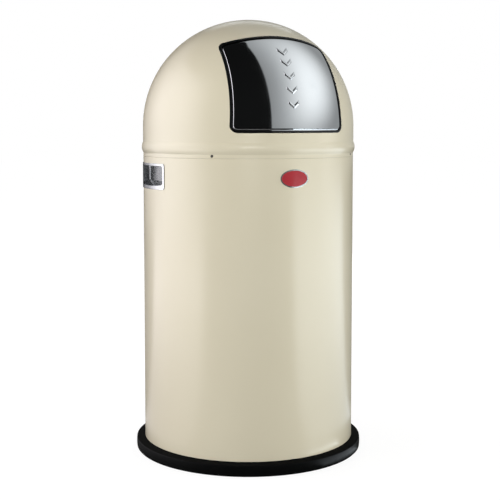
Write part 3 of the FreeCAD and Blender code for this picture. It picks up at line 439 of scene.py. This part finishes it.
def wrap(piece, radius, height):
    """Lay a flat piece, whose front faces -Y, on a skin of the band and the dome."""
    for vertex in piece.data.vertices:
        above = max(height + vertex.co.z - dome_centre, 0)
        out = radius - vertex.co.y
        vertex.co = (vertex.co.x, -math.sqrt(out ** 2 - vertex.co.x ** 2 - above ** 2), height + vertex.co.z)


wrap(flap, border_radius, 0)
edit(flap)
face_outward()
end_edit()
apply_modifier(flap, "SOLIDIFY", thickness=flap_sheet, offset=-1, use_even_offset=True)
smooth(flap, degrees=35)
flap.data.materials.append(stainless)
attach(flap, "flap")
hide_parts("push_flap")

# A chevron is a low round ridge struck up from the sheet, repeated down the middle.
chevron_half = 0.0094
chevron_drop = 0.0078
chevron_stroke = 0.0064
chevron_relief = 0.0013
chevron_root = 0.0001
chevron_sunk = 0.00008
chevron_run_out = 0.2
chevron_cuts = 11
chevron_heights = (0.6848, 0.6662, 0.6444, 0.6211, 0.5975)
pattern = upright_sheet()
for vertex in pattern.data.vertices:
    vertex.co = (
        chevron_half if vertex.co.x > 0 else 0,
        0,
        (chevron_stroke if vertex.co.z > 0 else 0) + (chevron_drop if vertex.co.x > 0 else 0),
    )
edit(pattern)
bpy.ops.mesh.select_all(action="SELECT")
bpy.ops.mesh.subdivide(number_cuts=chevron_cuts)
end_edit()
apply_modifier(pattern, "MIRROR", use_axis=(True, False, False), use_clip=True, merge_threshold=same_place)
edit(pattern)
bpy.ops.mesh.select_all(action="SELECT")
bpy.ops.mesh.extrude_region_move(TRANSFORM_OT_translate={"value": (0, -chevron_root, 0)})
face_outward()
end_edit()
for vertex in pattern.data.vertices:
    along = abs(vertex.co.x) / chevron_half
    across = (vertex.co.z - chevron_drop * along) / chevron_stroke
    swell = max(math.sin(math.pi * across), 0) * min((1 - along) / chevron_run_out, 1)
    if vertex.co.y < -same_place:
        vertex.co.y -= chevron_relief * swell
for number, height in enumerate(chevron_heights, start=1):
    chevron = bpy.data.objects.new(f"struck_chevron_{number}", pattern.data.copy())
    bpy.context.scene.collection.objects.link(chevron)
    wrap(chevron, field_radius - chevron_sunk, height)
    smooth(chevron, degrees=80)
    chevron.data.materials.append(stainless)
    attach(chevron, "flap")
bpy.data.objects.remove(pattern)


# Hinge rod, its caps, brackets and arms
# All zinc-plated steel: a plain rod in two pressed brackets under the dome, push-on caps on
# its ends, and two arms that are welded to the back of the flap and turn on the rod.

dress(zinc, "hinge_rod", "rod_retainers", "left_hinge_bracket", "right_hinge_bracket")
dress(zinc, "left_flap_arm", "right_flap_arm")


# Flap springs
# A torsion spring wound from hard-drawn wire on each side of the rod. One leg bears on the
# dome and the other on the flap, so the coil winds up as the flap is pushed.

# Spring steel: oil-dark drawn wire with a dull shine.
spring_steel, tree, shader, place = start_material("drawn_spring_steel")
draw_marks = add_node(tree, "ShaderNodeTexNoise", {}, {"Vector": place, "Scale": repeats(2), "Detail": 3.0})
tone = add_node(tree, "ShaderNodeMix", {"data_type": "RGBA"}, {
    "Factor": draw_marks.outputs[0], FIRST: linear("#5c5e60"), SECOND: linear("#8b8d8e"),
})
polish = add_node(tree, "ShaderNodeMapRange", {}, {
    "Value": draw_marks.outputs[0], "To Min": 0.25, "To Max": 0.4,
})
wire(tree, shader, {"Base Color": tone.outputs[MIXED], "Roughness": polish.outputs[0], "Metallic": 1.0})

rod_low, rod_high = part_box("hinge_rod")
rod_middle = (rod_low + rod_high) / 2
spring_wire = 0.0008
spring_coil = 0.005
spring_pitch = 0.0026
spring_start = 0.029
spring_first_angle = math.radians(130)
spring_wound = math.radians(2140)
spring_climb = spring_pitch / (2 * math.pi)
spring_length = spring_climb * spring_wound
spring_gap = 0.0003
end_reach = 1.2 * spring_wire
spring_sides = 12
spring_steps = 190
hood_sheet = 0.001
dome_reach = dome_radius - hood_sheet - spring_wire - spring_gap
flap_reach = field_radius - flap_sheet - spring_wire - spring_gap


def coil_way(angle, side):
    """The direction of the wire at an angle of the coil."""
    way = Vector((side * spring_climb, -spring_coil * math.sin(angle), spring_coil * math.cos(angle)))
    return way.normalized()


def run_to_sphere(at, way, radius):
    """How far a straight leg runs before it meets a sphere about the dome's centre."""
    offset = at - Vector((0, 0, dome_centre))
    along = offset.dot(way)
    return math.sqrt(along ** 2 - offset.length_squared + radius ** 2) - along


for name, side in (("right_flap_spring", 1), ("left_flap_spring", -1)):
    bpy.ops.mesh.primitive_circle_add(vertices=spring_sides, radius=spring_wire, fill_type="NOTHING")
    spring = bpy.context.object
    spring.name = f"wound_{name}"
    first_way = coil_way(spring_first_angle, side)
    first_at = Vector((
        side * spring_start,
        rod_middle.y + spring_coil * math.cos(spring_first_angle),
        rod_middle.z + spring_coil * math.sin(spring_first_angle),
    ))
    section_turn = first_way.to_track_quat("Z", "Y").to_matrix().to_4x4()
    spring.data.transform(Matrix.Translation(first_at - rod_middle) @ section_turn)
    apply_modifier(
        spring, "SCREW", axis="X", angle=spring_wound, screw_offset=side * spring_length,
        steps=spring_steps, render_steps=spring_steps, iterations=1, use_smooth_shade=True,
    )
    spring.data.transform(Matrix.Translation(rod_middle))
    last_angle = spring_first_angle + spring_wound
    last_way = coil_way(last_angle, side)
    last_at = Vector((
        side * (spring_start + spring_length),
        rod_middle.y + spring_coil * math.cos(last_angle),
        rod_middle.z + spring_coil * math.sin(last_angle),
    ))
    edit(spring)
    for at, way, reach_radius in ((first_at, -first_way, dome_reach), (last_at, last_way, flap_reach)):
        leg = way * run_to_sphere(at, way, reach_radius)
        pick(spring, lambda spot: (spot - at).length < end_reach and abs((spot - at).dot(way)) < same_place)
        bpy.ops.mesh.extrude_region_move(TRANSFORM_OT_translate={"value": leg})
        bpy.ops.mesh.edge_face_add()
    face_outward()
    end_edit()
    smooth(spring, degrees=50)
    spring.data.materials.append(spring_steel)
    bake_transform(spring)
    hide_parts(name)


# Inner liner and its bail
# A galvanised bucket with a wired rim, two riveted ears, and a bent wire bail that folds
# down behind it.

# Galvanised sheet: zinc crystals about 14 mm across, each with its own shade of grey.
galvanised, tree, shader, place = start_material("galvanised_steel")
spangle = add_node(tree, "ShaderNodeTexVoronoi", {}, {"Vector": place, "Scale": repeats(14)})
cloud = add_node(tree, "ShaderNodeTexNoise", {}, {"Vector": place, "Scale": repeats(35), "Detail": 4.0})
shade = add_node(tree, "ShaderNodeSeparateColor", {}, {"Color": spangle.outputs["Color"]})
tone = add_node(tree, "ShaderNodeMix", {"data_type": "RGBA"}, {
    "Factor": shade.outputs[0], FIRST: linear("#a9aeb2"), SECOND: linear("#ccd0d2"),
})
polish = add_node(tree, "ShaderNodeMapRange", {}, {"Value": shade.outputs[1], "To Min": 0.44, "To Max": 0.60})
relief = add_node(tree, "ShaderNodeBump", {}, {
    "Height": cloud.outputs[0], "Strength": 0.08, "Distance": 0.0004,
})
wire(tree, shader, {
    "Base Color": tone.outputs[MIXED], "Roughness": polish.outputs[0], "Normal": relief.outputs[0],
    "Metallic": 0.6,
})
dress(galvanised, "inner_liner", "left_bail_ear", "right_bail_ear", "bail_wire")
dress(zinc, "ear_rivets")

# Polypropylene: a black moulding with a fine leathery grain, near 1 mm, drawn at 2 mm.
plastic, tree, shader, place = start_material("moulded_polypropylene")
grain = add_node(tree, "ShaderNodeTexVoronoi", {}, {"Vector": place, "Scale": repeats(2)})
wear = add_node(tree, "ShaderNodeTexNoise", {}, {"Vector": place, "Scale": repeats(20), "Detail": 3.0})
tone = add_node(tree, "ShaderNodeMix", {"data_type": "RGBA"}, {
    "Factor": wear.outputs[0], FIRST: linear("#18191a"), SECOND: linear("#2a2b2d"),
})
polish = add_node(tree, "ShaderNodeMapRange", {}, {"Value": wear.outputs[0], "To Min": 0.40, "To Max": 0.55})
relief = add_node(tree, "ShaderNodeBump", {}, {
    "Height": grain.outputs["Distance"], "Strength": 0.3, "Distance": 0.0002,
})
wire(tree, shader, {
    "Base Color": tone.outputs[MIXED], "Roughness": polish.outputs[0], "Normal": relief.outputs[0],
    "IOR": 1.49,
})
dress(plastic, "bail_grip")


# Studio
# A white floor that runs out to white, a light tent on each side of the bin, a strip of
# light behind it, lit sheets on the floor, and a dark room that the polished flap mirrors.

floor_radius = 14.0
floor_sides = 128
floor_drop = 0.0003
under_floor_drop = 0.001


def floor_disc(name, drop):
    """A wide disc of paper just under the bin."""
    bpy.ops.mesh.primitive_circle_add(
        vertices=floor_sides, radius=floor_radius, fill_type="NGON", location=(0, 0, -drop),
    )
    disc = bpy.context.object
    disc.name = name
    settle(disc)
    return disc


# The floor in the picture is paper that is lit until it is white; what the bin mirrors and
# is lit by is a greyer one under it.
lit_paper, tree, shader, place = start_material("lit_white_paper")
away = add_node(tree, "ShaderNodeVectorMath", {"operation": "LENGTH"}, {0: place})
# Its glow is painted dimmer near the bin, 0.9 within 0.2 m of the axis and full beyond 0.8 m: a painted shade
# round the foot.
strength = add_node(tree, "ShaderNodeMapRange", {"interpolation_type": "SMOOTHSTEP"}, {
    "Value": away.outputs["Value"], "From Min": 0.2, "From Max": 0.8, "To Min": 0.9, "To Max": 1.0,
})
wire(tree, shader, {
    "Base Color": (0.16, 0.16, 0.16, 1.0), "Roughness": 0.9, "Specular IOR Level": 0.0,
    "Emission Color": (1.0, 1.0, 1.0, 1.0), "Emission Strength": strength.outputs[0],
})
floor = floor_disc("studio_floor", floor_drop)
floor.data.materials.append(lit_paper)
floor.visible_diffuse = False
floor.visible_glossy = False
floor.visible_shadow = False

grey_paper, tree, shader, place = start_material("grey_paper")
wire(tree, shader, {"Base Color": (0.22, 0.22, 0.215, 1.0), "Roughness": 0.9, "Specular IOR Level": 0.0})
under_floor = floor_disc("studio_under_floor", under_floor_drop)
under_floor.data.materials.append(grey_paper)
under_floor.visible_camera = False

camera_turn = math.radians(-24)
tent_middle = Vector((0, 0, 0.4))
tent_radius = 3.0
tent_segments = 180
tent_rings = 90


def studio_spot(turn, lift):
    """A place on the light tents; turns run from the camera round to its right, in degrees."""
    turn = math.radians(turn) + camera_turn
    lift = math.radians(lift)
    way = Vector((math.sin(turn) * math.cos(lift), -math.cos(turn) * math.cos(lift), math.sin(lift)))
    return tent_middle + way * tent_radius


# Tints of the lit cloth and paper.
NEUTRAL = (0.97, 1.0, 1.005, 1.0)
COOL = (0.92, 1.0, 1.06, 1.0)
WARM = (1.0, 0.96, 1.0, 1.0)


def glow_material(
    name, hot, hot_reach, far_reach, tint, hot_glow, far_glow, lie=(0, 0, 0), shape=(1, 1, 1),
):
    """Lit cloth that is brightest round one spot; lie and shape make the spot an ellipse aslant."""
    glow, tree, shader, place = start_material(name)
    spot = add_node(tree, "ShaderNodeMapping", {"vector_type": "TEXTURE"}, {
        "Vector": place, "Location": hot, "Rotation": lie, "Scale": shape,
    })
    away = add_node(tree, "ShaderNodeVectorMath", {"operation": "LENGTH"}, {0: spot.outputs[0]})
    strength = add_node(tree, "ShaderNodeMapRange", {"interpolation_type": "SMOOTHSTEP"}, {
        "Value": away.outputs["Value"], "From Min": hot_reach, "From Max": far_reach,
        "To Min": hot_glow, "To Max": far_glow,
    })
    wire(tree, shader, {
        "Base Color": (0, 0, 0, 1), "Specular IOR Level": 0.0, "Emission Color": tint,
        "Emission Strength": strength.outputs[0],
    })
    return glow


# Above this lift, in degrees, a place is the top of the sphere and has no turn.
top_lift = 89


def light_tent(name, turns, lifts, glow, size=1.0):
    """Part of a glowing sphere about the bin."""
    bpy.ops.mesh.primitive_uv_sphere_add(
        segments=tent_segments, ring_count=tent_rings, radius=tent_radius, location=tent_middle,
    )
    tent = bpy.context.object
    tent.name = name
    settle(tent)
    edit(tent)

    def outside(at):
        """Whether a place on the sphere lies outside this part of it."""
        turn = (math.degrees(math.atan2(at.x, -at.y) - camera_turn) - turns[0]) % 360
        lift = math.degrees(math.asin(max(-1, min(1, (at.z - tent_middle.z) / tent_radius))))
        at_top = lift > top_lift
        return not (lifts[0] <= lift <= lifts[1] and (at_top or turn <= turns[1] - turns[0]))

    pick(tent, outside)
    bpy.ops.mesh.delete(type="VERT")
    end_edit()
    for vertex in tent.data.vertices:
        vertex.co = tent_middle + (vertex.co - tent_middle) * size
    tent.data.materials.append(glow)
    tent.visible_camera = False
    tent.visible_shadow = False
    return tent


right_tent = light_tent("right_light_tent", turns=(23.5, 194), lifts=(-1, 90), glow=glow_material(
    "right_tent_cloth", studio_spot(83, 35), hot_reach=0.36, far_reach=3.8, tint=NEUTRAL,
    hot_glow=1.22, far_glow=0.34,
    lie=(0, math.radians(47), math.radians(83) + camera_turn), shape=(0.48, 1.0, 0.9),
))
right_tent.visible_diffuse = False
light_tent("left_light_tent", turns=(-150, -44), lifts=(-7, 46), glow=glow_material(
    "left_tent_cloth", studio_spot(-90, 14), hot_reach=0.7, far_reach=2.6, tint=WARM,
    hot_glow=2.5, far_glow=0.42,
))
strip = light_tent("back_light_strip", turns=(162, 198), lifts=(34, 40), glow=glow_material(
    "back_strip_cloth", studio_spot(176, 37), hot_reach=0.4, far_reach=1.1, tint=NEUTRAL,
    hot_glow=2.6, far_glow=0.4,
), size=0.99)
strip.visible_diffuse = False
light_tent("dark_room", turns=(-180, 180), lifts=(-3, 90), glow=glow_material(
    "dark_room_wall", studio_spot(0, 10), hot_reach=0.5, far_reach=4.0, tint=NEUTRAL,
    hot_glow=0.008, far_glow=0.006,
), size=1.02)

sheet_height = 0.003
sheet_steps = 24


def floor_sheet(name, turns, near, far, glow):
    """A lit sheet on the floor beside the bin, which only the gloss of the bin shows."""
    bpy.ops.mesh.primitive_plane_add(size=1)
    sheet = bpy.context.object
    sheet.name = name
    edit(sheet)
    pick(sheet, lambda at: at.x > 0)
    bpy.ops.mesh.delete(type="VERT")
    end_edit()
    first = math.radians(turns[0]) + camera_turn
    for vertex, reach in zip(sheet.data.vertices, (near, far)):
        vertex.co = (reach * math.sin(first), -reach * math.cos(first), sheet_height)
    edit(sheet)
    bpy.ops.mesh.select_all(action="SELECT")
    bpy.ops.mesh.spin(
        steps=sheet_steps, angle=math.radians(turns[1] - turns[0]), center=(0, 0, 0), axis=(0, 0, -1),
    )
    end_edit()
    sheet.data.materials.append(glow)
    sheet.visible_camera = False
    sheet.visible_diffuse = False
    sheet.visible_shadow = False


bin_axis = Vector((0, 0, 0))
floor_sheet("right_floor_sheet", turns=(48, 122), near=0.30, far=13.0, glow=glow_material(
    "right_sheet_paper", bin_axis, hot_reach=0.3, far_reach=2.0, tint=COOL, hot_glow=1.0, far_glow=2.5,
))
floor_sheet("ring_floor_sheet", turns=(40, 75), near=0.204, far=0.25, glow=glow_material(
    "ring_sheet_paper", bin_axis, hot_reach=0.3, far_reach=3.0, tint=COOL, hot_glow=3.3, far_glow=3.3,
))
floor_sheet("left_floor_sheet", turns=(-121, -46), near=0.26, far=13.0, glow=glow_material(
    "left_sheet_paper", bin_axis, hot_reach=0.3, far_reach=2.4, tint=WARM, hot_glow=0.7, far_glow=2.6,
))

# Soft lamps near the camera, on the right and behind light the paint; its gloss doesn't show
# them. Each has its turn and lift in degrees, and its power in watts.
lamp_size = 1.2
lamps = (
    ("front_fill", 2, 14, 55),
    ("right_fill", 92, 8, 46),
    ("back_fill", 172, 15, 26),
)
for name, turn, lift, energy in lamps:
    lamp = bpy.data.objects.new(name, bpy.data.lights.new(name, "AREA"))
    bpy.context.scene.collection.objects.link(lamp)
    lamp.data.shape = "DISK"
    lamp.data.size = lamp_size
    lamp.data.energy = energy
    lamp.location = studio_spot(turn, lift)
    lamp.rotation_euler = (lamp.location - tent_middle).to_track_quat("Z", "Y").to_euler()
    lamp.visible_glossy = False
    lamp.visible_camera = False

# The world is white where the camera looks past the floor, and lights nothing.
world = bpy.data.worlds.new("studio")
world.use_nodes = True
wire(world.node_tree, world.node_tree.nodes["Background"], {"Color": (1.0, 1.0, 1.0, 1.0), "Strength": 1.0})
bpy.context.scene.world = world
world.cycles_visibility.diffuse = False
world.cycles_visibility.glossy = False
world.cycles_visibility.transmission = False
world.cycles_visibility.scatter = False

bpy.context.scene.view_settings.view_transform = "Standard"

# The camera stands 1.93 m from the bin's axis, 24 degrees to the left of its front, and
# looks a little down.
camera_distance = 1.9258
camera_height = 0.5749
camera_drop = math.radians(4.322)
camera = bpy.data.objects.new("camera", bpy.data.cameras.new("camera"))
bpy.context.scene.collection.objects.link(camera)
camera.location = (
    camera_distance * math.sin(camera_turn), -camera_distance * math.cos(camera_turn), camera_height,
)
camera.rotation_euler = (math.pi / 2 - camera_drop, 0, camera_turn)
camera.data.sensor_width = 36
camera.data.lens = 78.1
camera.data.shift_x = 0.0036
camera.data.shift_y = -0.09
camera.data.clip_start = 0.05
camera.data.clip_end = 60
bpy.context.scene.camera = camera
